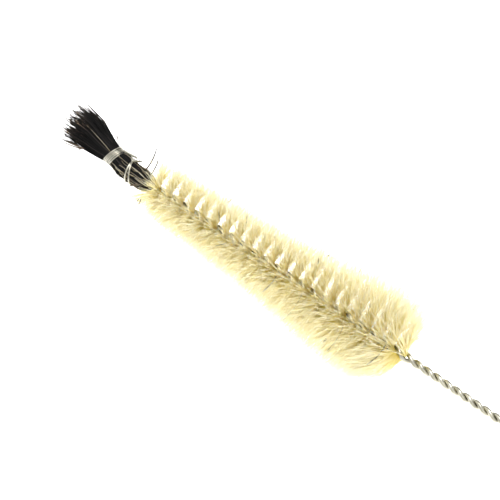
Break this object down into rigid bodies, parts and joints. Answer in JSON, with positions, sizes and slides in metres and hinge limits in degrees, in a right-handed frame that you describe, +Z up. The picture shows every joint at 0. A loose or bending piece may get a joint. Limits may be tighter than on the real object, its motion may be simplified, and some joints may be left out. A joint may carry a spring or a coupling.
{
  "type": "test tube brush",
  "caption": "Twisted-wire test tube brush with a tapered pale bristle head, a black bristle tuft at the front end and a wire hanging eye.",
  "frame": {"origin": "middle of the underside of the bounding box, on the surface that the brush lies on", "axes": "+X from the tuft towards the hanging eye, +Z up; the brush axis slopes down about 4 degrees towards +X as it rests"},
  "size_m": [0.2452, 0.0244, 0.0238],
  "materials": {
    "wire": "bright drawn steel wire",
    "pale_bristle": "pale straw-coloured bristle, satin",
    "black_bristle": "black bristle, satin",
    "binding_wire": "bright thin steel wire"
  },
  "bodies": {
    "root": {"core_wire": "wire", "bristle_turn_01": "pale_bristle", "bristle_turn_02": "pale_bristle", "bristle_turn_03": "pale_bristle", "bristle_turn_04": "pale_bristle", "bristle_turn_05": "pale_bristle", "bristle_turn_06": "pale_bristle", "bristle_turn_07": "pale_bristle", "bristle_turn_08": "pale_bristle", "bristle_turn_09": "pale_bristle", "bristle_turn_10": "pale_bristle", "bristle_turn_11": "pale_bristle", "tuft_bristles": "black_bristle", "front_binding": "binding_wire", "rear_binding": "binding_wire"}
  },
  "joints": []
}
